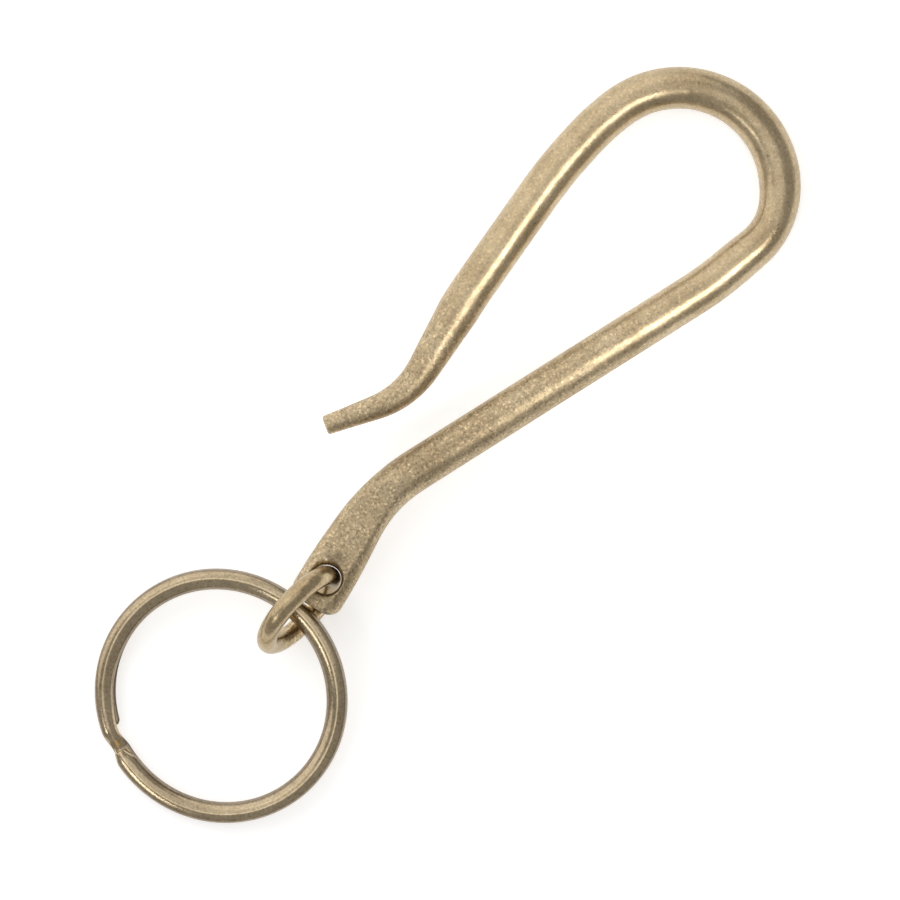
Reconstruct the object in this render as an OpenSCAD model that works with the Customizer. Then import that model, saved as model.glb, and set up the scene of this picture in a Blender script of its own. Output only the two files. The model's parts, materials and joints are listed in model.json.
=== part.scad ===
// Belt key clip of brass. A hook is bent from one round rod, with a nose that tapers and an
// eye that is forged flat and drilled. A closed link ring passes through the eye, and a split
// ring for keys hangs on the link ring.
// The clip lies as it rests on a table: the table is at height zero, the straight shank of
// the hook runs along Y and the belt loop is at the +Y end. The link ring stands on its edge.
// Its middle holds up the eye of the hook, and its foot the near side of the split ring.

/* [Rod] */
// Thickness of the round rod
rod_d = 5; // [4.6:0.1:5.4]
// Part of its width that the rod loses inside the tight heel bend
heel_squeeze_share = 0.07; // [0:0.01:0.1]

/* [Belt loop] */
// Straight shank that lies behind the belt
shank_len = 38.8; // [32:0.1:46]
// Radius of the easy bend at the top of the shank
ease_r = 37.5; // [30:0.5:45]
// Turn of the easy bend, in degrees
ease_turn = 7.5; // [5:0.5:10]
// Straight run between the easy bend and the heel
heel_run = 4.2; // [3:0.1:6]
// Radius of the heel, the tightest bend of the loop
heel_r = 8.6; // [7:0.1:10]
// Turn of the heel, in degrees
heel_turn = 44.2; // [40:0.2:50]
// Radius of the round end of the loop
loop_r = 11.9; // [11:0.1:14]
// Radius of the shoulder where the loop runs out
shoulder_r = 28.8; // [24:0.2:34]
// Turn of the shoulder, in degrees
shoulder_turn = 9.2; // [7:0.2:12]
// Radius of the slight bow above the arm
bow_r = 61; // [50:1:72]
// Turn of the slight bow, in degrees
bow_turn = 9.1; // [7:0.1:11]
// Angle at which the arm leans in to the shank, in degrees
arm_lean = 22.6; // [20:0.1:26]

/* [Nose] */
// Clear gap of the mouth, between the nose and the shank
mouth_gap = 4.4; // [4.3:0.1:6]
// Radius of the slight bend at the foot of the arm
arm_foot_r = 61; // [50:1:72]
// Turn of the slight bend, in degrees
arm_foot_turn = 4; // [2:0.5:6]
// Straight run between the slight bend and the nose
nose_run = 7.6; // [6:0.1:9]
// Radius of the bend that turns the nose out
nose_r = 11; // [9:0.2:13]
// Turn of the nose, in degrees
nose_turn = 39; // [34:0.5:44]
// Straight end of the nose
nose_len = 6.3; // [5:0.1:8]
// Length over which the rod tapers to the tip
taper_len = 21.7; // [18:0.1:26]
// Thickness at the tip
tip_d = 2.3; // [1.8:0.1:3]
// Bevel round the end of the tip
tip_bevel = 0.3; // [0.1:0.05:0.5]

/* [Forged eye] */
// Radius of the neck bend between the shank and the eye
neck_r = 21; // [17:0.5:25]
// Turn of the neck, in degrees
neck_turn = 26.6; // [22:0.2:30]
// Distance from the neck bend to the middle of the eye hole
eye_reach = 6.9; // [6:0.1:8.5]
// Width of the eye
eye_w = 6.4; // [6:0.1:7]
// Thickness of the eye
eye_t = 3.2; // [2.8:0.1:3.6]
// Thickness that the eye would have if its two faces were not pressed flat
eye_crown_t = 4.2; // [3.8:0.1:4.8]
// Rounding of the two corners of the eye, seen from above
eye_corner_r = 1.6; // [1.2:0.1:2]
// Rounding of the edges round the end of the eye
eye_edge_r = 0.6; // [0.3:0.05:0.8]
// Diameter of the eye hole
eye_hole_d = 4; // [3.8:0.1:4.2]
// Bevel round both mouths of the eye hole
eye_hole_bevel = 0.3; // [0.2:0.05:0.4]
// Metal between the eye hole and the end of the eye
eye_end_wall = 1.6; // [1.4:0.1:1.9]
// Length over which the round rod widens to the eye
forge_len = 14; // [12:0.5:16]
// Distance from the end of the eye to where its flat faces run out
flat_len = 17.4; // [15:0.1:19]
// Radius of the slope by which the flat faces run out
flat_end_r = 20; // [14:1:26]
// Lean of the flat faces and of the hole, down towards the arm's side, in degrees
flat_lean = 5.4; // [0:0.2:7]
// Softness of the long edges of the flat faces
flat_edge_r = 0.2; // [0.1:0.05:0.3]

/* [Link ring] */
// Outer diameter of the link ring
link_d = 13; // [12.6:0.1:14]
// Thickness of its wire
link_wire_d = 2.4; // [2.2:0.1:2.5]
// Lean of the link ring from upright, in degrees
link_lean = 15.7; // [10:0.1:18]
// Turn of the link ring from the line of the eye, in degrees
link_turn = -11.7; // [-16:0.1:-6]
// Gap between its wire and the wall of the eye hole, on the side where it bears
link_bearing_gap = 0.32; // [0.3:0.01:0.4]
// Distance by which its wire lies off the middle of the eye hole, to the side
link_side_shift = 0.02; // [0:0.01:0.06]

/* [Split ring] */
// Outer diameter of the split ring
ring_d = 30; // [28:0.5:34]
// Width of its wire, measured across the ring
ring_wire_w = 2.5; // [2.2:0.1:2.7]
// Thickness of its wire, one layer
ring_wire_t = 1; // [0.9:0.05:1.1]
// Slit between the two layers
ring_slit = 0.42; // [0.42:0.01:0.5]
// Part of a layer's thickness that its domed outer face takes
ring_dome_share = 0.8; // [0.6:0.05:0.9]
// Part of the radius by which the ring is out of round
ring_oval_share = 0.019; // [0:0.001:0.025]
// Direction of its longer diameter, round from the link ring, in degrees
ring_oval_turn = 82; // [60:1:120]
// Place of the upper free end, round from the link ring, in degrees
ring_end_turn = 161; // [120:1:240]
// Sweep of the wire from one free end to the other, in degrees
ring_sweep = 704; // [690:1:706]
// Sweep in which the wire drops from the upper layer to the lower, in degrees
jog_sweep = 11.5; // [10.5:0.5:14]
// Sweep left between the jog and the free end that starts above it, in degrees
jog_clear_turn = 1; // [0.5:0.5:2]
// Width that the wire loses at the jog on its inner side
jog_pinch_in = 0.5; // [0:0.05:0.6]
// Width that the wire loses at the jog on its outer side
jog_pinch_out = 0.2; // [0:0.05:0.5]
// Sweep over which the pinch runs out under the upper layer, in degrees
pinch_sweep = 28; // [20:1:40]
// Part of its width that the wire keeps at its two free ends
end_w_share = 0.5; // [0.4:0.05:0.8]
// Sweep over which a free end narrows, in degrees
end_sweep = 13; // [10:1:20]
// Rounding of the two free ends
ring_end_r = 0.2; // [0.1:0.05:0.3]

/* [Rest] */
// Gap between the split ring and the wire of the link ring that it lies on
ring_bearing_gap = 0.45; // [0.4:0.01:0.5]
// Distance by which the split ring lies off the lowest point of the link ring
ring_pull = 0.3; // [0:0.05:0.5]
// Distance by which the middle of the split ring lies off the line of the link ring, to the side
ring_side_shift = 0.14; // [0:0.02:0.3]

/* [Hidden] */

FULL_TURN = 360;
HALF_TURN = 180;
QUARTER_TURN = 90;

// Fineness: sides of the rod, longest gap between its sections, and the like for the ring
rod_sides = 32;
rod_step = 2;
forge_step = 1;
forge_runs = 2;
rod_step_turn = 6;
edge_steps = 6;
ring_sides = 16;
ring_step_turn = 6;
round_fn = 96;

// Brass, as the tumbled rod and as the brighter rings
rod_colour = [0.62, 0.54, 0.42];
link_colour = [0.66, 0.57, 0.42];
ring_colour = [0.70, 0.60, 0.45];

// Numbers between two values, and a step that starts and ends gently
function clamp(t) = min(max(t, 0), 1);
function ease(t) = let (u = clamp(t)) u * u * (3 - 2 * u);
function mix(a, b, t) = a + (b - a) * t;
function sign_of(v) = v < 0 ? -1 : 1;
function soft_min(a, b, r) = let (t = clamp((b - a + r) / r / 2)) mix(b, a, t) - r * t * (1 - t);
function total(list, count) = count == 0 ? 0 : list[count - 1][0] + total(list, count - 1);
function column(points, i) = [for (p = points) p[i]];
function middle(values) = (min(values) + max(values)) / 2;

// Turns of a point about the X, Y and Z axes, the same way as rotate() turns a solid
function about_x(p, a) = [p[0], p[1] * cos(a) - p[2] * sin(a), p[1] * sin(a) + p[2] * cos(a)];
function about_y(p, a) = [p[0] * cos(a) + p[2] * sin(a), p[1], p[2] * cos(a) - p[0] * sin(a)];
function about_z(p, a) = [p[0] * cos(a) - p[1] * sin(a), p[0] * sin(a) + p[1] * cos(a), p[2]];

// Triangles of a skin over sections that each have the same number of points. The sections
// turn anticlockwise as seen from the end that the skin starts from
function skin_faces(sections, sides) = concat(
    [for (i = [1 : sides - 2]) [0, i + 1, i]],
    [for (k = [0 : sections - 2], i = [0 : sides - 1])
        let (a = k * sides + i, b = k * sides + (i + 1) % sides)
        [a, b, a + sides]],
    [for (k = [0 : sections - 2], i = [0 : sides - 1])
        let (a = k * sides + i, b = k * sides + (i + 1) % sides)
        [b, b + sides, a + sides]],
    [for (i = [1 : sides - 2])
        let (a = (sections - 1) * sides)
        [a, a + i, a + i + 1]]
);

// The line of the rod is a chain of runs, each [length, turn to the left in degrees], and a
// pose on it is [x, y, heading]. A run that turns is an arc
function arc_run(r, turn) = [r * abs(turn) * PI / HALF_TURN, turn];
function along(p, run, turn) =
    turn == 0
    ? [p[0] + run * cos(p[2]), p[1] + run * sin(p[2]), p[2]]
    : let (r = run * HALF_TURN / PI / turn)
      [p[0] + r * (sin(p[2] + turn) - sin(p[2])),
       p[1] - r * (cos(p[2] + turn) - cos(p[2])),
       p[2] + turn];
function run_starts(runs, p, i = 0) =
    i == len(runs) ? [p]
    : concat([p], run_starts(runs, along(p, runs[i][0], runs[i][1]), i + 1));

// Belt hook, with the middle of the eye hole at its origin and its flat at height zero
rod_r = rod_d / 2;
tip_r = tip_d / 2;
eye_hole_r = eye_hole_d / 2;
eye_end = eye_hole_r + eye_end_wall;
eye_heading = QUARTER_TURN + neck_turn;
hook_start = [-eye_end * cos(eye_heading), -eye_end * sin(eye_heading), eye_heading];
loop_turn = HALF_TURN + arm_lean - ease_turn - heel_turn - shoulder_turn - bow_turn;
arm_heading = eye_heading - neck_turn + HALF_TURN + arm_lean;

// The rod up to the arm, then the arm's foot and the nose as far as where they pass the
// shank. The arm is as long as it takes to leave the mouth gap there
loop_runs = [
    [eye_end + eye_reach, 0],
    arc_run(neck_r, -neck_turn),
    [shank_len, 0],
    arc_run(ease_r, ease_turn),
    [heel_run, 0],
    arc_run(heel_r, heel_turn),
    arc_run(loop_r, loop_turn),
    arc_run(shoulder_r, shoulder_turn),
    arc_run(bow_r, bow_turn)
];
loop_starts = run_starts(loop_runs, hook_start);
arm_start = loop_starts[len(loop_runs)];
shank_x = loop_starts[2][0];
mouth_turn = arm_lean + arm_foot_turn;
mouth_runs = [
    arc_run(arm_foot_r, arm_foot_turn),
    [nose_run, 0],
    arc_run(nose_r, -mouth_turn)
];
mouth_starts = run_starts(mouth_runs, [0, 0, arm_heading]);
mouth_shift = mouth_starts[len(mouth_runs)][0];
mouth_from_tip = nose_len + arc_run(nose_r, nose_turn - mouth_turn)[0];
taper_power = 1.2;
function taper_r(from_tip) = mix(tip_r, rod_r, pow(clamp(from_tip / taper_len), taper_power));
mouth_x = shank_x - rod_r - mouth_gap - taper_r(mouth_from_tip);
arm_len = (mouth_x - mouth_shift - arm_start[0]) / cos(arm_heading);

hook_runs = concat(loop_runs, [
    [arm_len, 0],
    arc_run(arm_foot_r, arm_foot_turn),
    [nose_run, 0],
    arc_run(nose_r, -nose_turn),
    [nose_len, 0]
]);
hook_starts = run_starts(hook_runs, hook_start);
hook_len = total(hook_runs, len(hook_runs));
heel = 5;
heel_len = hook_runs[heel][0];
heel_mid = total(hook_runs, heel) + heel_len / 2;

// Sections along the rod: [x, y, heading, distance from the end of the eye]
function run_count(run, turn, step) = max(ceil(run / step), ceil(abs(turn) / rod_step_turn));
rod_stations = [
    for (i = [0 : len(hook_runs) - 1])
        let (run = hook_runs[i][0], turn = hook_runs[i][1])
        let (n = run_count(run, turn, i < forge_runs ? forge_step : rod_step))
        for (k = [i == 0 ? 1 : 0 : n - 1])
            let (p = along(hook_starts[i], run * k / n, turn * k / n))
            [p[0], p[1], p[2], total(hook_runs, i) + run * k / n]
];
eye_edge_stations = [
    for (k = [0 : edge_steps])
        let (s = eye_corner_r * (1 - cos(QUARTER_TURN * k / edge_steps)))
        let (p = along(hook_start, s, 0))
        [p[0], p[1], p[2], s]
];
tip_stations = [
    for (back = [tip_bevel, 0])
        let (p = along(hook_starts[len(hook_runs)], -back, 0))
        [p[0], p[1], p[2], hook_len - back]
];
hook_stations = concat(
    eye_edge_stations,
    [for (p = rod_stations) if (p[3] > eye_corner_r + eye_edge_r) p],
    tip_stations
);

// The rod at a distance from the eye's end: its half width, the height of its crown, and the
// height at which the forging has pressed it flat
function inset(r, s) = s >= r ? 0 : r - sqrt(r * r - (r - s) * (r - s));
function forged(s) = 1 - ease((s - eye_end) / forge_len);
function squeezed(s) = 1 - heel_squeeze_share * ease(1 - abs(s - heel_mid) / heel_len);
function inset_bevel(from_tip) = from_tip < tip_bevel ? tip_bevel - from_tip : 0;
function round_r(s) = taper_r(hook_len - s) - inset_bevel(hook_len - s);
function half_w(s) = mix(round_r(s) * squeezed(s), eye_w / 2, forged(s)) - inset(eye_corner_r, s);
function crown(s) = mix(round_r(s), eye_crown_t / 2, forged(s));
function rise(r, run) = r - sqrt(r * r - run * run);
flat_depth = rod_r - eye_t / 2;
flat_start = flat_len - sqrt(flat_depth * (2 * flat_end_r - flat_depth));
function flat_z(s) =
    eye_t / 2 - inset(eye_edge_r, s) + rise(flat_end_r, clamp((s - flat_start) / flat_end_r) * flat_end_r);

// One section: an ellipse with its top and bottom pressed flat, and a circle where the rod
// is round
function rod_section(p) = [
    for (i = [0 : rod_sides - 1])
        let (a = i * FULL_TURN / rod_sides)
        let (u = half_w(p[3]) * cos(a))
        let (up = sign_of(sin(a)))
        let (pressed = flat_z(p[3]) + up * u * tan(flat_lean))
        let (v = up * soft_min(crown(p[3]) * abs(sin(a)), pressed, flat_edge_r))
        [p[0] + u * sin(p[2]), p[1] - u * cos(p[2]), v]
];
hook_points = [for (p = hook_stations) each rod_section(p)];

// Rest: how high each piece lies and how far it tilts, from the table up
link_wire_r = link_wire_d / 2;
link_r = link_d / 2 - link_wire_r;
link_z = link_r * cos(link_lean) + link_wire_r;
ring_r = (ring_d - ring_wire_w) / 2;
ring_t = 2 * ring_wire_t + ring_slit;
cross_z = link_wire_d + ring_bearing_gap + ring_t / 2;
eye_z = link_z;
hook_reach = max([for (p = hook_stations) p[1]]);
hook_tilt = asin((eye_z - rod_r) / hook_reach);

// The link ring's wire lies near the wall of the eye hole, on the far side from the split
// ring. Its middle lies back from the hole along the line of the link
link_heading = eye_heading + link_turn;
link_line = [cos(link_heading), sin(link_heading)];
bearing_shift = eye_hole_r - link_wire_r - link_bearing_gap;
side_line = [link_line[1], -link_line[0]];
link_xy = side_line * link_side_shift - link_line * (link_r - bearing_shift);

// Split ring in its own frame: its middle at the origin, the link ring towards +X
function oval(turn) = 1 + ring_oval_share * cos(2 * (turn - ring_oval_turn));
near_r = ring_r * oval(0);
far_r = ring_r * oval(HALF_TURN);
ring_tilt = asin((cross_z - ring_t / 2) / (near_r + far_r));
cross_xy = link_xy + side_line * ring_side_shift - link_line * ring_pull;
ring_mid = [
    cross_xy[0] - link_line[0] * near_r * cos(ring_tilt),
    cross_xy[1] - link_line[1] * near_r * cos(ring_tilt),
    cross_z - near_r * sin(ring_tilt)
];

// The wire sweeps from its upper free end: drop is 0 on the upper layer and 1 on the lower.
// The jog pinches the wire, and a free end narrows on the side where the jog passes it: the
// upper one on its inner side, the lower one on its outer side
jog_start = FULL_TURN - jog_sweep - jog_clear_turn;
pinch_start = ring_sweep - FULL_TURN - jog_sweep;
dome_t = ring_wire_t * ring_dome_share;
face_t = ring_wire_t - dome_t;
dome_power = 1;
face_power = 0.4;
function dropped(sweep) = ease((sweep - jog_start) / jog_sweep);
function pinched_in(sweep) =
    ease((sweep - pinch_start) / jog_sweep) * (1 - ease((sweep - jog_start) / jog_sweep - 1 / 2));
function pinched_out(sweep) = dropped(sweep) * (1 - ease((sweep - FULL_TURN) / pinch_sweep));
function narrowed(from_end) = ring_wire_w * (1 - end_w_share) * (1 - ease(from_end / end_sweep));
function outer_w(sweep) =
    ring_wire_w / 2 - jog_pinch_out * pinched_out(sweep) - narrowed(ring_sweep - sweep);
function inner_w(sweep) = ring_wire_w / 2 - jog_pinch_in * pinched_in(sweep) - narrowed(sweep);
function ring_wire_z(sweep) = mix(1, -1, dropped(sweep)) * (ring_slit / 2 + face_t);
function bulge(v, power) = sign_of(v) * pow(abs(v), power);
function ring_section(sweep, size) = [
    for (i = [0 : ring_sides - 1])
        let (a = (i + 0.5) * FULL_TURN / ring_sides)
        let (drop = dropped(sweep))
        let (domed = sin(a) > 0 ? 1 - drop : drop)
        let (power = mix(face_power, dome_power, domed))
        let (rise = mix(face_t, dome_t, domed))
        let (half = (inner_w(sweep) + outer_w(sweep)) / 2)
        let (r = ring_r * oval(ring_end_turn + sweep) + half - inner_w(sweep))
        let (u = half * size * bulge(cos(a), power))
        let (v = rise * size * bulge(sin(a), power))
        about_z([r + u, 0, ring_wire_z(sweep) + v], ring_end_turn + sweep)
];

// The sections: [sweep, size], with the ones near the jog closer together and the free ends
// rounded in. Sections a turn apart lie over each other, so the slit is measured on points
end_turn = ring_end_r / ring_r * HALF_TURN / PI;
end_size = 1 - 2 * ring_end_r / ring_wire_w;
jog_steps = 10;
ring_stations = concat(
    [[0, end_size], [end_turn, 1]],
    [for (s = [ring_step_turn : ring_step_turn : jog_start - end_turn]) [s, 1]],
    [for (k = [0 : jog_steps]) [jog_start + jog_sweep * k / jog_steps, 1]],
    [for (s = [FULL_TURN + ring_step_turn : ring_step_turn : ring_sweep - 2 * end_turn]) [s, 1]],
    [[ring_sweep - end_turn, 1], [ring_sweep, end_size]]
);
ring_points = [for (p = ring_stations) each ring_section(p[0], p[1])];
function ring_place(p) = about_z(about_y(p, -ring_tilt), link_heading) + ring_mid;

// Least distance of the wire from itself, between points that lie about a turn apart
reach_turn = 2 * ring_step_turn + jog_sweep;
self_gaps = [
    for (a = ring_stations, b = ring_stations)
        if (b[0] - a[0] > FULL_TURN - reach_turn && b[0] - a[0] < FULL_TURN + reach_turn)
            for (p = ring_section(a[0], a[1]), q = ring_section(b[0], b[1]))
                norm(p - q)
];
echo("least gap of the split ring's wire to itself, mm", min(self_gaps));

// The origin of the clip: on the table, under the middle of its outline
placed_hook = [for (p = hook_points) about_x(p, -hook_tilt)];
placed_ring = [for (p = ring_points) ring_place(p)];
clip_mid = [
    middle(concat(column(placed_hook, 0), column(placed_ring, 0))),
    middle(concat(column(placed_hook, 1), column(placed_ring, 1))),
    0
];
echo("middle of the eye hole, mm", [0, 0, eye_z] - clip_mid);
hole_line = about_z(about_x([0, 0, 1], -flat_lean), eye_heading);
echo("line of the eye hole", about_x(hole_line, -hook_tilt));
echo("where the split ring bears on the link ring, mm", [cross_xy[0], cross_xy[1], cross_z] - clip_mid);
echo("line of the split ring's wire there", [-side_line[0], -side_line[1], 0]);

module belt_hook() {
    color(rod_colour)
    translate([0, 0, eye_z] - clip_mid)
    rotate([-hook_tilt, 0, 0])
    difference() {
        polyhedron(hook_points, skin_faces(len(hook_stations), rod_sides));
        rotate([0, 0, eye_heading])
        rotate([-flat_lean, 0, 0])
        eye_hole();
    }
}

// The hole drilled through the eye, with a bevel at both mouths
module eye_hole() {
    bevel_z = eye_t / 2 - eye_hole_bevel;
    cylinder(h = 2 * eye_t, r = eye_hole_r, center = true, $fn = round_fn);
    for (side = [0, 1])
        mirror([0, 0, side])
        translate([0, 0, bevel_z])
        cylinder(h = eye_t, r1 = eye_hole_r, r2 = eye_hole_r + eye_t, $fn = round_fn);
}

module link_ring() {
    color(link_colour)
    translate([link_xy[0], link_xy[1], link_z] - clip_mid)
    rotate([0, 0, link_heading])
    rotate([QUARTER_TURN - link_lean, 0, 0])
    rotate_extrude($fn = round_fn)
    translate([link_r, 0])
    circle(r = link_wire_r, $fn = round_fn / 2);
}

module split_ring() {
    color(ring_colour)
    translate(ring_mid - clip_mid)
    rotate([0, 0, link_heading])
    rotate([0, -ring_tilt, 0])
    polyhedron(ring_points, skin_faces(len(ring_stations), ring_sides));
}

belt_hook();
link_ring();
split_ring();
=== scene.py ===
"""Belt key clip of brass: a bent hook with a forged eye, a link ring and a split ring."""
import json
import math

import bmesh
import bpy
from mathutils import Matrix, Vector


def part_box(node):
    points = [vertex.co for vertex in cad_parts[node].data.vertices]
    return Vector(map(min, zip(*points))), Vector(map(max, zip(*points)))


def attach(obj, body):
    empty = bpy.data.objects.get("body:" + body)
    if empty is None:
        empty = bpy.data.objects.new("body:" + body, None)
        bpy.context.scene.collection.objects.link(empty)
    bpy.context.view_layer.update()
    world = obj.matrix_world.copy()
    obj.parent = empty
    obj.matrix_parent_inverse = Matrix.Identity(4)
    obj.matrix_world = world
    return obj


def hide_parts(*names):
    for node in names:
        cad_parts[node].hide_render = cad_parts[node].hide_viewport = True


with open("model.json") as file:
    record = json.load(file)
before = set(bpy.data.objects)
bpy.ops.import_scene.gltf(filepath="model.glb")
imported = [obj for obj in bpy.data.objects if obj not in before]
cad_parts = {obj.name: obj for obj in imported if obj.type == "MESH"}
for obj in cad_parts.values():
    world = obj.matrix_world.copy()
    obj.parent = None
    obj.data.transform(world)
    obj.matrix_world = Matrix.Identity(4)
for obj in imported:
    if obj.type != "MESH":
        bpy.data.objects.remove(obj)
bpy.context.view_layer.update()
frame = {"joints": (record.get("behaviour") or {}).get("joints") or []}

MM = 0.001

# Joints of the frame: the line of the eye hole, and the split ring's wire on the link ring
link_swing, ring_swing = frame["joints"]
hole_mid = Vector(link_swing["pos_m"])
hole_line = Vector(link_swing["axis"]).normalized()
cross_mid = Vector(ring_swing["pos_m"])

# Rod and belt loop: sizes in metres, turns and leans in degrees. The rod is a little thinner than
# its stock, to stay inside the solid's box
STOCK_R = 2.5 * MM
ROD_R = 2.48 * MM
HEEL_SQUEEZE = 0.07
SHANK_LEN = 38.8 * MM
EASE_R, EASE_TURN = 37.5 * MM, 7.5
HEEL_RUN = 4.2 * MM
HEEL_R, HEEL_TURN = 8.6 * MM, 44.2
LOOP_R = 11.9 * MM
SHOULDER_R, SHOULDER_TURN = 28.8 * MM, 9.2
BOW_R, BOW_TURN = 61 * MM, 9.1
ARM_LEAN = 22.6

# Nose
MOUTH_GAP = 4.4 * MM
FOOT_R, FOOT_TURN = 61 * MM, 4
NOSE_RUN = 7.6 * MM
NOSE_R, NOSE_TURN = 11 * MM, 39
NOSE_LEN = 6.3 * MM
TAPER_LEN = 21.7 * MM
TAPER_POWER = 1.2
TIP_R = 1.15 * MM
TIP_ROUND = 0.35 * MM
TIP_ROUND_SHARE = 0.95

# Forged eye. Its hole is narrowest at the waist, between two rounded mouths
NECK_R, NECK_TURN = 21 * MM, 26.6
EYE_REACH = 6.9 * MM
EYE_HALF_W = 3.2 * MM
EYE_HALF_T = 1.6 * MM
EYE_CROWN = 2.1 * MM
EYE_CORNER_R = 1.6 * MM
EYE_EDGE_R = 0.6 * MM
EYE_HOLE_R = 1.75 * MM
EYE_HOLE_ROUND, EYE_HOLE_ROUND_TURN = 0.66 * MM, 52
EYE_END = 3.6 * MM
FORGE_LEN = 14 * MM
FLAT_LEN = 17.4 * MM
FLAT_END_R = 20 * MM
FLAT_EDGE_R = 0.16 * MM
FLAT_LEAN = 5.4
DRILL_BEYOND = 0.6 * MM

# Link ring
LINK_R = 5.3 * MM
LINK_WIRE_R = 1.197 * MM
LINK_LEAN = 15.7
LINK_TURN = -11.7

# Split ring: the layers almost touch, and so do the ring and the table
RING_R = 13.75 * MM
RING_WIRE_W = 2.46 * MM
RING_T = 2.39 * MM
RING_SLIT = 0.1 * MM
RING_TABLE_GAP = 0.01 * MM
RING_OVAL, RING_OVAL_TURN = 0.019, 82
RING_END_TURN = 161
RING_SWEEP = 708
JOG_SWEEP = 9.8
JOG_CLEAR = 0.8

# Section of its wire: the outer face has a soft ridge off its middle and falls away to both rims
SLIT_SIDE_SHARE = 0.12
CROWN_PLACE = 0.11
GABLE_DROP = 0.25
CURVE_DROP = 0.34
RIDGE_SOFTNESS, RIDGE_OFFSET = 0.004, 0.063
RIM_POWER = 11
SLIT_EDGE_POWER = 5
SECTION_SPREAD = 0.8

# Its free ends, which are thinner and rounded
END_SPARE = 0.5
END_ROUND = 0.2 * MM
END_SIZE = 0.75
END_DOME, END_DOME_SWEEP = 0.86, 8

# Millimetres of width that its wire loses at each sweep. It loses them on the inner side at the
# free ends and before the jog, and on the outer side at the free ends and where the jog ends
INNER_LOSS = (
    (0.4, 0.72), (9, 0), (296, 0), (334, 0.27), (350, 0.5), (361, 0.05), (372, 0),
    (RING_SWEEP - 3, 0), (RING_SWEEP, 0.3),
)
OUTER_LOSS = (
    (0.4, 0.34), (6.5, 0), (349, 0), (359.5, 0.4), (382, 0),
    (RING_SWEEP - 24, 0), (RING_SWEEP, 1.3),
)

# Fineness
ROD_SIDES = 64
ROD_STEP = 0.5 * MM
ROD_STEP_TURN = 2
ROD_END_STEPS = 10
ROD_SHARP_TURN = 32
DRILL_SIDES = 96
DRILL_STEPS = 8
WIRE_SIDES = 48
WIRE_SHARP_TURN = 40
LINK_STEPS = 192
RING_SIDES = 80
RING_STEP_TURN = 1.2
RING_END_STEPS = 5

# Looks: tints from dark to light. A sandy part is a way along the frame, a start and a run, and
# the painted shade over the eye hole, where the link ring shades the eye's flat, is a place and a
# reach
ROD_TINTS = ((0.41, 0.315, 0.19), (0.51, 0.405, 0.255), (0.57, 0.46, 0.305))
LINK_TINTS = ((0.38, 0.285, 0.165), (0.48, 0.375, 0.225), (0.56, 0.445, 0.285))
RING_TINTS = ((0.41, 0.325, 0.21), (0.49, 0.395, 0.26), (0.56, 0.455, 0.31))
ROD_SANDY = ((0.77, -0.64, 0), -24 * MM, 14 * MM)
LINK_SANDY = ((0, 0, -1), -4 * MM, 2.5 * MM)
# Painted shade around the eye hole, where the link ring shades the eye's flat
EYE_SHADE_SPOT, EYE_SHADE_REACH = Vector((4.0, -18.4, 7.9)) * MM, 1.5 * MM

# Tint across the split ring's wire: painted shade on its sides, standing in for the shaded table
# that they mirror, and a painted highlight along its crown
SIDE_SHADE, RIM_SHADE = (0.60, 0.60, 0.66), (0.66, 0.66, 0.70)
RING_SHADE_AND_HIGHLIGHT = (
    (0.04, SIDE_SHADE), (0.15, RIM_SHADE), (0.19, 0.95), (0.50, 1.0), (0.535, 1.5),
    (0.575, 1.5), (0.61, 1.0), (0.86, 0.95), (0.90, RIM_SHADE), (0.98, SIDE_SHADE),
)

# Table, camera and world. The photograph's up is turned on the table
TABLE_HALF = 0.6
TABLE_WHITE = 0.85
TABLE_GLOW = 0.52
PHOTO_TURN = 57.72
PHOTO_MID = Vector((-5.16, 20.38, 0)) * MM
FRAME_W = 105.75 * MM
CAMERA_UP = 1500 * MM
SENSOR_W = 36
WORLD_COLOUR = (1, 0.985, 0.97, 1)
WORLD_GLOW = 0.42


def clamp(t):
    return min(max(t, 0.0), 1.0)


def ease(t):
    u = clamp(t)
    return u * u * (3 - 2 * u)


def mix(a, b, t):
    return a + (b - a) * t


def heading(turn):
    """The unit vector at that turn, in degrees, from +X."""
    return Vector((math.cos(math.radians(turn)), math.sin(math.radians(turn)), 0))


def turned(degrees, axis):
    return Matrix.Rotation(math.radians(degrees), 4, axis)


def arc_run(r, turn):
    return (r * math.radians(abs(turn)), turn)


def along(pose, run, turn):
    """The pose (x, y, heading) at the end of a run that turns by that many degrees."""
    x, y, h = pose
    if turn == 0:
        return (x + run * math.cos(math.radians(h)), y + run * math.sin(math.radians(h)), h)
    r = run / math.radians(turn)
    before, after = math.radians(h), math.radians(h + turn)
    return (
        x + r * (math.sin(after) - math.sin(before)),
        y - r * (math.cos(after) - math.cos(before)),
        h + turn,
    )


def walk(pose, runs):
    """The pose at the end of the runs."""
    for run in runs:
        pose = along(pose, *run)
    return pose


def skin(bm, loops, closed=False):
    """Extrudes a circle through the loops, each a list of as many places, and caps the ends."""
    made = bmesh.ops.create_circle(bm, segments=len(loops[0]), radius=ROD_R)
    ring = made["verts"]
    edges = list(dict.fromkeys(edge for vert in ring for edge in vert.link_edges))
    first_edges = edges
    for vert, place in zip(ring, loops[0]):
        vert.co = place
    for loop in loops[1:]:
        made = bmesh.ops.extrude_edge_only(bm, edges=edges)["geom"]
        fresh = {item for item in made if isinstance(item, bmesh.types.BMVert)}
        edges = [item for item in made if isinstance(item, bmesh.types.BMEdge)]
        edges = [edge for edge in edges if edge.verts[0] in fresh and edge.verts[1] in fresh]
        ring = [
            next(e.other_vert(vert) for e in vert.link_edges if e.other_vert(vert) in fresh)
            for vert in ring
        ]
        for vert, place in zip(ring, loop):
            vert.co = place
    if closed:
        bmesh.ops.bridge_loops(bm, edges=first_edges + edges)
    else:
        bmesh.ops.contextual_create(bm, geom=first_edges)
        bmesh.ops.contextual_create(bm, geom=edges)
    bmesh.ops.recalc_face_normals(bm, faces=bm.faces[:])


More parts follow.
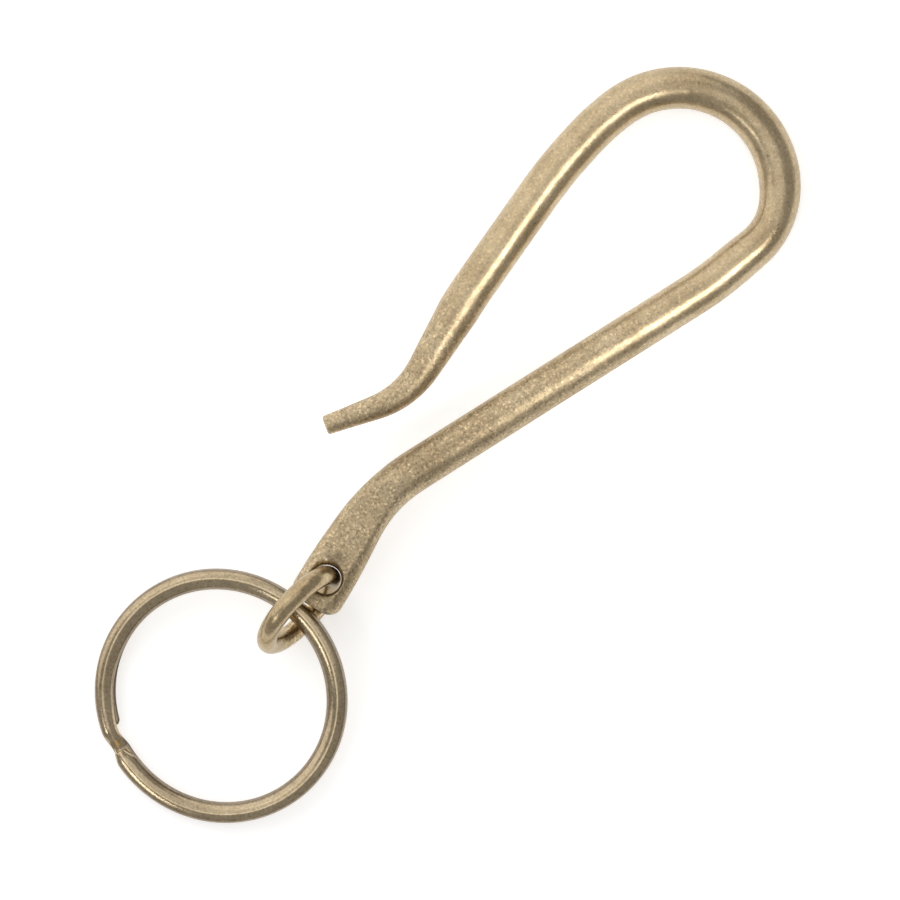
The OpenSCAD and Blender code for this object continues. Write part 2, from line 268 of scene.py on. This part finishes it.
def piece(name, bm, place, sharp_turn=WIRE_SHARP_TURN):
    """A smooth-shaded object from the bmesh, with its place in its mesh."""
    bm.transform(place)
    mesh = bpy.data.meshes.new(name)
    bm.to_mesh(mesh)
    bm.free()
    mesh.shade_smooth()
    mesh.set_sharp_from_angle(angle=math.radians(sharp_turn))
    obj = bpy.data.objects.new(name, mesh)
    bpy.context.scene.collection.objects.link(obj)
    return obj


# Hook: the line of the rod, from the end of the eye to the tip, with the places in it of the
# shank and of the heel's arc
SHANK_RUN, HEEL_ARC = 2, 5
eye_heading = 90 + NECK_TURN
hook_start = tuple(-EYE_END * heading(eye_heading))[:2] + (eye_heading,)
arm_heading = 270 + ARM_LEAN
mouth_turn = ARM_LEAN + FOOT_TURN
loop_turn = 180 + ARM_LEAN - EASE_TURN - HEEL_TURN - SHOULDER_TURN - BOW_TURN


def taper_r(from_tip):
    return mix(TIP_R, ROD_R, clamp(from_tip / TAPER_LEN) ** TAPER_POWER)


def hook_line():
    """The runs of the rod's line. The arm is as long as it takes to leave the mouth gap."""
    runs = [
        (EYE_END + EYE_REACH, 0),
        arc_run(NECK_R, -NECK_TURN),
        (SHANK_LEN, 0),
        arc_run(EASE_R, EASE_TURN),
        (HEEL_RUN, 0),
        arc_run(HEEL_R, HEEL_TURN),
        arc_run(LOOP_R, loop_turn),
        arc_run(SHOULDER_R, SHOULDER_TURN),
        arc_run(BOW_R, BOW_TURN),
    ]
    foot = [arc_run(FOOT_R, FOOT_TURN), (NOSE_RUN, 0)]
    shank_x = walk(hook_start, runs[:SHANK_RUN])[0]
    arm_x = walk(hook_start, runs)[0]
    foot_x = walk((0, 0, arm_heading), foot + [arc_run(NOSE_R, -mouth_turn)])[0]
    mouth_from_tip = NOSE_LEN + NOSE_R * math.radians(NOSE_TURN - mouth_turn)
    mouth_x = shank_x - STOCK_R - MOUTH_GAP - taper_r(mouth_from_tip)
    arm_len = (mouth_x - foot_x - arm_x) / math.cos(math.radians(arm_heading))
    return runs + [(arm_len, 0)] + foot + [arc_run(NOSE_R, -NOSE_TURN), (NOSE_LEN, 0)]


def hook_poses(runs):
    """Poses along the line, each with its distance from the end of the eye, and its length."""
    pose, gone, poses = hook_start, 0.0, []
    for run, turn in runs:
        count = max(math.ceil(run / ROD_STEP), math.ceil(abs(turn) / ROD_STEP_TURN))
        for k in range(count):
            poses.append((along(pose, run * k / count, turn * k / count), gone + run * k / count))
        pose, gone = along(pose, run, turn), gone + run
    past_corner = [item for item in poses if EYE_CORNER_R + ROD_STEP < item[1] < gone - TIP_ROUND]
    turns = [math.pi / 2 * k / ROD_END_STEPS for k in range(ROD_END_STEPS + 1)]
    eye_end = [EYE_CORNER_R * (1 - math.cos(a)) for a in turns]
    tip_end = [TIP_ROUND * (1 - math.sin(a)) for a in turns[:-1]]
    return (
        [(along(hook_start, s, 0), s) for s in eye_end]
        + past_corner
        + [(along(pose, -s, 0), gone - s) for s in tip_end]
    ), gone


def inset(r, s):
    """How far a rounding of radius r draws a side in, at distance s from the end."""
    return 0.0 if s >= r else r - math.sqrt(r * r - (r - s) ** 2)


def soft_min(a, b, r):
    """The lesser of two heights, blended where they are closer than r."""
    t = clamp((b - a + r) / (2 * r))
    return mix(b, a, t) - r * t * (1 - t)


def hook_loops():
    """Sections of the rod: squeezed at the heel, tapered at the nose, pressed flat at the eye."""
    flat_depth = ROD_R - EYE_HALF_T
    flat_start = FLAT_LEN - math.sqrt(flat_depth * (2 * FLAT_END_R - flat_depth))
    runs = hook_line()
    poses, length = hook_poses(runs)
    heel_len = runs[HEEL_ARC][0]
    heel_mid = sum(run for run, turn in runs[:HEEL_ARC]) + heel_len / 2
    loops = []
    for (x, y, h), s in poses:
        forged = 1 - ease((s - EYE_END) / FORGE_LEN)
        squeezed = 1 - HEEL_SQUEEZE * ease(1 - abs(s - heel_mid) / heel_len)
        from_tip = length - s
        round_r = taper_r(from_tip) - inset(TIP_ROUND, from_tip) * TIP_ROUND_SHARE
        half_w = mix(round_r * squeezed, EYE_HALF_W, forged) - inset(EYE_CORNER_R, s)
        crown = mix(round_r, EYE_CROWN, forged)
        flat_run = min(max(s - flat_start, 0), FLAT_END_R)
        flat_z = EYE_HALF_T + FLAT_END_R - math.sqrt(FLAT_END_R ** 2 - flat_run ** 2)
        flat_z -= inset(EYE_EDGE_R, s)
        side = heading(h - 90)
        loop = []
        for k in range(ROD_SIDES):
            a = 2 * math.pi * k / ROD_SIDES
            u = half_w * math.cos(a)
            lean_rise = u * math.tan(math.radians(FLAT_LEAN))
            pressed = flat_z + math.copysign(lean_rise, math.sin(a) * u)
            v = soft_min(crown * abs(math.sin(a)), pressed, FLAT_EDGE_R)
            loop.append(Vector((x, y, math.copysign(v, math.sin(a)))) + side * u)
        loops.append(loop)
    return loops


def eye_drill():
    """The shape that the drill and its rounded mouths take out of the eye."""
    profile = []
    for k in range(DRILL_STEPS + 1):
        a = math.radians(EYE_HOLE_ROUND_TURN) * k / DRILL_STEPS
        flare = EYE_HOLE_ROUND * (1 - math.cos(a))
        profile.append((EYE_HOLE_R + flare, EYE_HALF_T - EYE_HOLE_ROUND * (1 - math.sin(a))))
    mouth_r, mouth_z = profile[-1]
    profile.append((mouth_r + DRILL_BEYOND * math.sin(a), mouth_z + DRILL_BEYOND * math.cos(a)))
    profile = [(r, -z) for r, z in reversed(profile)] + profile
    return [
        [heading(360 * k / DRILL_SIDES) * r + Vector((0, 0, z)) for k in range(DRILL_SIDES)]
        for r, z in profile
    ]


def cut(obj, tool):
    """Takes the tool's shape out of the object's mesh."""
    carve = obj.modifiers.new("cut", "BOOLEAN")
    carve.operation, carve.object, carve.solver = "DIFFERENCE", tool, "EXACT"
    bpy.context.view_layer.update()
    shown = obj.evaluated_get(bpy.context.evaluated_depsgraph_get())
    mesh = bpy.data.meshes.new_from_object(shown)
    obj.modifiers.clear()
    obj.data = mesh
    bpy.data.objects.remove(tool)


# The flats and the hole lean from the upright of the hook, and the hook itself is tilted
eye_lean = turned(eye_heading, "Z") @ turned(-FLAT_LEAN, "X")
own_line = eye_lean @ Vector((0, 0, 1))
hook_tilt = math.atan2(hole_line.z, hole_line.y) - math.atan2(own_line.z, own_line.y)
hook_place = Matrix.Translation(hole_mid) @ Matrix.Rotation(hook_tilt, 4, "X")
hook_bm = bmesh.new()
skin(hook_bm, hook_loops())
hook = piece("hook_rod", hook_bm, hook_place, ROD_SHARP_TURN)
drill_bm = bmesh.new()
skin(drill_bm, eye_drill())
cut(hook, piece("drill", drill_bm, hook_place @ eye_lean))
hook.data.name = "hook_rod"


def link_loops():
    """Sections of the link ring's round wire, all the way round."""
    loops = []
    for k in range(LINK_STEPS):
        out = heading(360 * k / LINK_STEPS)
        loops.append([
            out * (LINK_R + LINK_WIRE_R * math.cos(2 * math.pi * j / WIRE_SIDES))
            + Vector((0, 0, LINK_WIRE_R * math.sin(2 * math.pi * j / WIRE_SIDES)))
            for j in range(WIRE_SIDES)
        ])
    return loops


# Link ring: brazed shut, it stands on its edge and leans
link_low, link_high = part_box("link_ring")
link_mid = (link_low + link_high) / 2
link_heading = eye_heading + LINK_TURN
link_bm = bmesh.new()
skin(link_bm, link_loops(), closed=True)
link_place = (
    Matrix.Translation(link_mid) @ turned(link_heading, "Z") @ turned(90 - LINK_LEAN, "X")
)
link = piece("link_wire", link_bm, link_place)


# Split ring: one wire, wound from its upper free end to its lower one
layer_t = (RING_T - RING_SLIT) / 2
jog_start = 360 - JOG_SWEEP - JOG_CLEAR


def oval(turn):
    return 1 + RING_OVAL * math.cos(2 * math.radians(turn - RING_OVAL_TURN))


def width_loss(sweep, stops):
    """Width that the wire loses on one side at that sweep, eased between the stops."""
    (low, a), (high, b) = next(pair for pair in zip(stops, stops[1:]) if sweep <= pair[1][0])
    return MM * mix(a, b, ease((sweep - low) / (high - low)))


def dome(u):
    """Height of the outer face over the slit's face, as a share, at u from -1 to 1."""
    away = abs(u - CROWN_PLACE)
    share = away / (1 - CROWN_PLACE if u > CROWN_PLACE else 1 + CROWN_PLACE)
    ridge = math.sqrt(away * away + RIDGE_SOFTNESS) - RIDGE_OFFSET
    drop = GABLE_DROP * ridge + CURVE_DROP * away ** 3
    return (1 - drop) * math.sqrt(max(1 - share ** RIM_POWER, 0))


def ring_loop(sweep, size=1.0):
    """One section of the wire. It is domed on the outer face and flat at the slit."""
    drop = ease((sweep - jog_start) / JOG_SWEEP)
    outer = RING_WIRE_W / 2 - width_loss(sweep, OUTER_LOSS)
    inner = RING_WIRE_W / 2 - width_loss(sweep, INNER_LOSS)
    centre = RING_R * oval(RING_END_TURN + sweep) + (outer - inner) / 2
    half_w = (outer + inner) / 2 * size
    to_end = ease(min(sweep, RING_SWEEP - sweep) / END_DOME_SWEEP)
    side = mix(1, -1, drop)
    base = side * (RING_SLIT / 2 + layer_t * SLIT_SIDE_SHARE)
    domed = layer_t * (1 - SLIT_SIDE_SHARE) * mix(END_DOME, 1, to_end) * size
    flat = layer_t * SLIT_SIDE_SHARE * size
    loop = []
    for k in range(RING_SIDES):
        a = 2 * math.pi * (k + 0.5) / RING_SIDES
        up = math.sin(a) > 0
        u = math.copysign(abs(math.cos(a)) ** SECTION_SPREAD, math.cos(a))
        edge = (1 - abs(u) ** SLIT_EDGE_POWER) ** 0.5
        v = mix(domed * dome(u), flat * edge, drop if up else 1 - drop)
        loop.append(
            heading(RING_END_TURN + sweep) * (centre + half_w * u)
            + Vector((0, 0, base + (v if up else -v)))
        )
    return loop


def ring_loops():
    """All sections of the wire, with its two ends rounded off."""
    end_turn = math.degrees(END_ROUND / RING_R)
    turns = [math.pi / 2 * k / RING_END_STEPS for k in range(RING_END_STEPS)]
    start = [
        (END_SPARE + end_turn * (1 - math.cos(a)), mix(END_SIZE, 1, math.sin(a))) for a in turns
    ]
    finish = [(RING_SWEEP - sweep, size) for sweep, size in reversed(start)]
    count = round(RING_SWEEP / RING_STEP_TURN)
    body = [(RING_SWEEP * k / count, 1.0) for k in range(1, count)]
    first, last = END_SPARE + end_turn, RING_SWEEP - END_SPARE - end_turn
    body = [item for item in body if first < item[0] < last]
    return [ring_loop(sweep, size) for sweep, size in start + body + finish]


# It leans on the foot of the link ring, with its far side on the table
link_line = heading(link_heading)
near_r = RING_R * oval(0)
far_r = RING_R * oval(180)
ring_tilt = math.asin((cross_mid.z - RING_T / 2 - RING_TABLE_GAP) / (near_r + far_r))
ring_mid = cross_mid - link_line * near_r * math.cos(ring_tilt)
ring_mid.z = cross_mid.z - near_r * math.sin(ring_tilt)
ring_place = (
    Matrix.Translation(ring_mid) @ turned(link_heading, "Z") @ Matrix.Rotation(-ring_tilt, 4, "Y")
)
ring_bm = bmesh.new()
skin(ring_bm, ring_loops())
across = ring_bm.verts.layers.float.new("across")
for vert in ring_bm.verts:
    turn = math.degrees(math.atan2(vert.co.y, vert.co.x))
    vert[across] = (vert.co.xy.length - RING_R * oval(turn)) / RING_WIRE_W + 0.5
ring = piece("ring_wire", ring_bm, ring_place)


def shader(name):
    """A new material, its node tree and its main shader."""
    material = bpy.data.materials.new(name)
    material.use_nodes = True
    tree = material.node_tree
    return material, tree, tree.nodes["Principled BSDF"]


def texture(tree, kind, size):
    """A texture on the object's own coordinates, with features of about that size in metres."""
    where = tree.nodes.new("ShaderNodeTexCoord")
    node = tree.nodes.new(kind)
    node.inputs["Scale"].default_value = 1 / size
    tree.links.new(where.outputs["Object"], node.inputs["Vector"])
    return node


def noise(tree, size, detail, rough):
    node = texture(tree, "ShaderNodeTexNoise", size)
    node.inputs["Detail"].default_value = detail
    node.inputs["Roughness"].default_value = rough
    return node.outputs["Fac"]


def cells(tree, size):
    """A random value for each grain."""
    node = texture(tree, "ShaderNodeTexVoronoi", size)
    split = tree.nodes.new("ShaderNodeSeparateColor")
    tree.links.new(node.outputs["Color"], split.inputs["Color"])
    return split.outputs["Red"]


def ramp(tree, value, stops):
    """A colour ramp over the value. Each stop is a place and a colour or a grey."""
    node = tree.nodes.new("ShaderNodeValToRGB")
    while len(node.color_ramp.elements) < len(stops):
        node.color_ramp.elements.new(1.0)
    for element, (place, colour) in zip(node.color_ramp.elements, stops):
        element.position = place
        grey = isinstance(colour, (int, float))
        element.color = (colour, colour, colour, 1) if grey else (*colour, 1)
    tree.links.new(value, node.inputs["Fac"])
    return node.outputs["Color"]


def blend_colours(tree, a, b, share, kind="MIX"):
    """Mixes two colours. Both colours and the share are numbers or links."""
    node = tree.nodes.new("ShaderNodeMix")
    node.data_type, node.blend_type = "RGBA", kind
    wanted = {"Factor_Float": share, "A_Color": a, "B_Color": b}
    for socket in node.inputs:
        value = wanted.get(socket.identifier)
        if value is None:
            continue
        if isinstance(value, bpy.types.NodeSocket):
            tree.links.new(value, socket)
        else:
            socket.default_value = value
    return next(s for s in node.outputs if s.identifier == "Result_Color")


def layered(tree, tint, layer, share=1.0):
    """The tint times the layer, as strongly as the share says."""
    return blend_colours(tree, tint, layer, share, "MULTIPLY")


def bump(tree, height, distance, after=None):
    """A normal that is raised by the height, on top of another one if there is one."""
    node = tree.nodes.new("ShaderNodeBump")
    node.inputs["Strength"].default_value = 1.0
    node.inputs["Distance"].default_value = distance
    tree.links.new(height, node.inputs["Height"])
    if after is not None:
        tree.links.new(after, node.inputs["Normal"])
    return node.outputs["Normal"]


def scaled(tree, value, factor, plus=0.0):
    """The value times a factor, plus a number, kept between 0 and 1."""
    node = tree.nodes.new("ShaderNodeMath")
    node.operation, node.use_clamp = "MULTIPLY_ADD", True
    node.inputs[1].default_value, node.inputs[2].default_value = factor, plus
    tree.links.new(value, node.inputs[0])
    return node.outputs[0]


def joined(tree, operation, a, b):
    """The two values, joined by a math operation."""
    node = tree.nodes.new("ShaderNodeMath")
    node.operation = operation
    tree.links.new(a, node.inputs[0])
    tree.links.new(b, node.inputs[1])
    return node.outputs[0]


def measured(tree, operation, other):
    """The place on the object, measured against another vector by that operation."""
    where = tree.nodes.new("ShaderNodeTexCoord")
    node = tree.nodes.new("ShaderNodeVectorMath")
    node.operation = operation
    node.inputs[1].default_value = other
    tree.links.new(where.outputs["Object"], node.inputs[0])
    return node.outputs["Value"]


def sandy(tree, way, start, run):
    """0 where the metal is worn smooth, and 1 beyond the run, past the start along the way."""
    return scaled(tree, measured(tree, "DOT_PRODUCT", way), 1 / run, -start / run)


def clear_of(tree, place, reach):
    """0 at that place and 1 beyond the reach."""
    return scaled(tree, measured(tree, "DISTANCE", place), 1 / reach)


def tumbled_brass():
    """Brass rod, tumbled: sandy grain with painted glints, pits, tarnish in patches, worn smooth
    on the loop, and painted shade around the eye hole.
    """
    material, tree, main = shader("tumbled_brass")
    rough_end = sandy(tree, *ROD_SANDY)
    grain = noise(tree, 0.34 * MM, 2.5, 0.75)

    clouds = noise(tree, 6 * MM, 5, 0.62)
    tint = ramp(tree, clouds, list(zip((0.32, 0.52, 0.72), ROD_TINTS)))
    specks = ramp(tree, grain, [(0.30, 0.45), (0.46, 0.90), (0.60, 1.03), (0.74, 1.5)])
    tint = layered(tree, tint, specks, scaled(tree, rough_end, 0.50, 0.50))
    # Grain of random tone per cell, whose brightest cells are painted glints
    grain_and_glints = ramp(tree, cells(tree, 0.21 * MM), [
        (0.0, 0.62), (0.2, 0.90), (0.82, 1.02), (0.92, 1.45), (1.0, 1.8),
    ])
    tint = layered(tree, tint, grain_and_glints, scaled(tree, rough_end, 0.35, 0.30))
    dark_pits = ramp(tree, noise(tree, 0.9 * MM, 3, 0.7), [(0.27, 0.45), (0.36, 1.0)])
    tint = layered(tree, tint, dark_pits, 0.7)
    # Painted shade around the eye hole, where the link ring shades the eye's flat
    eye_shade = ramp(tree, clear_of(tree, EYE_SHADE_SPOT, EYE_SHADE_REACH), [(0.2, 0.62), (0.9, 1.0)])
    tint = layered(tree, tint, eye_shade)
    tree.links.new(tint, main.inputs["Base Color"])

    patches = noise(tree, 1.6 * MM, 4, 0.65)
    rough = joined(tree, "ADD", scaled(tree, patches, 0.24, 0.18), scaled(tree, rough_end, 0.13))
    tree.links.new(rough, main.inputs["Roughness"])
    main.inputs["Metallic"].default_value = 1.0

    dents = bump(tree, noise(tree, 2.2 * MM, 2, 0.5), 0.045 * MM)
    pitted = bump(tree, dark_pits, 0.02 * MM, dents)
    heights = blend_colours(tree, (0.5, 0.5, 0.5, 1), grain, scaled(tree, rough_end, 0.55, 0.45))
    grains = bump(tree, heights, 0.034 * MM, pitted)
    tree.links.new(grains, main.inputs["Normal"])
    return material


def smooth_brass(name, tints, rough_stops, grain_bump, dent_bump, sandy_part=None, painted_light=None):
    """Brass wire, drawn or rolled: light tarnish and a faint grain.

    It can be sandy in one part, with bright flecks that are partly painted glints, and across its
    wire it can have painted shade on its sides and a painted highlight along its crown.
    """
    material, tree, main = shader(name)
    grain = noise(tree, 0.3 * MM, 2, 0.7)

    clouds = noise(tree, 5 * MM, 4, 0.6)
    tint = ramp(tree, clouds, list(zip((0.3, 0.52, 0.72), tints)))
    specks = ramp(tree, grain, [(0.30, 0.62), (0.48, 0.96), (0.60, 1.04), (0.74, 1.3)])
    tint = layered(tree, tint, specks, 0.8)
    if sandy_part:
        # Grain of random tone per cell, whose brightest cells are painted glints, in the sandy
        # part
        grain_and_glints = ramp(tree, cells(tree, 0.3 * MM), [
            (0.0, 0.5), (0.4, 0.9), (0.7, 1.5), (1.0, 2.0),
        ])
        tint = layered(tree, tint, grain_and_glints, sandy(tree, *sandy_part))
    # Painted shade on the wire's sides and a painted highlight along its crown, across the wire
    if painted_light:
        place = tree.nodes.new("ShaderNodeAttribute")
        place.attribute_name = "across"
        tint = layered(tree, tint, ramp(tree, place.outputs["Fac"], painted_light))
    tree.links.new(tint, main.inputs["Base Color"])

    patches = noise(tree, 1.5 * MM, 4, 0.6)
    tree.links.new(ramp(tree, patches, rough_stops), main.inputs["Roughness"])
    main.inputs["Metallic"].default_value = 1.0

    dents = bump(tree, noise(tree, 1.8 * MM, 2, 0.5), dent_bump)
    grains = bump(tree, grain, grain_bump, dents)
    tree.links.new(grains, main.inputs["Normal"])
    return material


hook_brass = tumbled_brass()
link_brass = smooth_brass(
    "drawn_brass", LINK_TINTS, [(0.3, 0.20), (0.7, 0.32)],
    grain_bump=0.012 * MM, dent_bump=0.03 * MM, sandy_part=LINK_SANDY,
)
ring_brass = smooth_brass(
    "rolled_brass", RING_TINTS, [(0.3, 0.13), (0.7, 0.22)],
    grain_bump=0.007 * MM, dent_bump=0.010 * MM, painted_light=RING_SHADE_AND_HIGHLIGHT,
)

for obj, body, node, slot_name, material in (
    (hook, "hook", "belt_hook", "hook_brass", hook_brass),
    (link, "link", "link_ring", "link_brass", link_brass),
    (ring, "ring", "split_ring", "ring_brass", ring_brass),
):
    obj.data.materials.clear()
    obj.data.materials.append(material)
    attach(obj, body)
    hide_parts(node)

# Table: white, and it keeps the clip's soft shadow
table_bm = bmesh.new()
bmesh.ops.create_grid(table_bm, x_segments=1, y_segments=1, size=TABLE_HALF)
table = piece("table", table_bm, Matrix.Identity(4))
table_paint, table_tree, table_main = shader("white_table")
table_main.inputs["Base Color"].default_value = (TABLE_WHITE, TABLE_WHITE, TABLE_WHITE, 1)
table_main.inputs["Roughness"].default_value = 1.0
table_main.inputs["Specular IOR Level"].default_value = 0.0
rays = table_tree.nodes.new("ShaderNodeLightPath")
seen = rays.outputs["Is Camera Ray"]
for ray_kind in ("Is Glossy Ray", "Is Transmission Ray"):
    seen = joined(table_tree, "MAXIMUM", seen, rays.outputs[ray_kind])
table_main.inputs["Emission Color"].default_value = (1, 1, 1, 1)
table_tree.links.new(
    scaled(table_tree, seen, TABLE_GLOW), table_main.inputs["Emission Strength"]
)
table.data.materials.append(table_paint)

# Camera: it looks straight down
camera_data = bpy.data.cameras.new("camera")
camera = bpy.data.objects.new("camera", camera_data)
bpy.context.scene.collection.objects.link(camera)
bpy.context.scene.camera = camera
camera_data.sensor_width = SENSOR_W
camera_data.lens = SENSOR_W * CAMERA_UP / FRAME_W
camera_data.clip_start, camera_data.clip_end = 0.05, 10
camera.location = hole_mid + PHOTO_MID + Vector((0, 0, CAMERA_UP))
camera.rotation_euler = (0, 0, math.radians(PHOTO_TURN))


def softbox(name, turn, rise, away, width, height, glow, colour, over=(0, 0), grid=90):
    """An area lamp aimed at the clip, as bright as the glow wherever it is seen.

    Turn 0 is the photograph's right, 90 its top. Rise is the angle up from the table. Over is
    the place on the table that it is aimed at. A grid keeps its light within that angle.
    """
    data = bpy.data.lights.new(name, "AREA")
    data.shape, data.size, data.size_y = "RECTANGLE", width, height
    data.energy, data.color = glow * math.pi * width * height, colour
    if grid < 90:
        half = math.radians(grid)
        data.spread = 2 * half
        data.energy *= (math.tan(half) - half) / math.tan(half)
    lamp = bpy.data.objects.new(name, data)
    bpy.context.scene.collection.objects.link(lamp)
    out = heading(turn + PHOTO_TURN) * math.cos(math.radians(rise))
    out.z = math.sin(math.radians(rise))
    lamp.location = Vector((*over, 0)) + out * away
    lamp.rotation_mode = "QUATERNION"
    lamp.rotation_quaternion = out.to_track_quat("Z", "Y")
    lamp.visible_camera = False


softbox(
    "key_light", turn=-39, rise=61, away=0.13, width=0.04, height=0.09, glow=22.0,
    colour=(1, 0.985, 0.95), over=(-0.008, 0.022), grid=12.5,
)
softbox(
    "side_light", turn=-138, rise=44, away=0.8, width=0.32, height=0.09, glow=4.4,
    colour=(1, 0.985, 0.95),
)
softbox(
    "panel", turn=127, rise=32, away=0.9, width=2.2, height=1.0, glow=0.88,
    colour=(1, 0.975, 0.94),
)
softbox(
    "ceiling", turn=115, rise=79, away=1.0, width=0.95, height=0.75, glow=0.60,
    colour=(1, 0.99, 0.97),
)

world = bpy.data.worlds.new("studio")
bpy.context.scene.world = world
world.use_nodes = True
world.node_tree.nodes["Background"].inputs["Color"].default_value = WORLD_COLOUR
world.node_tree.nodes["Background"].inputs["Strength"].default_value = WORLD_GLOW

bpy.context.scene.view_settings.view_transform = "Standard"
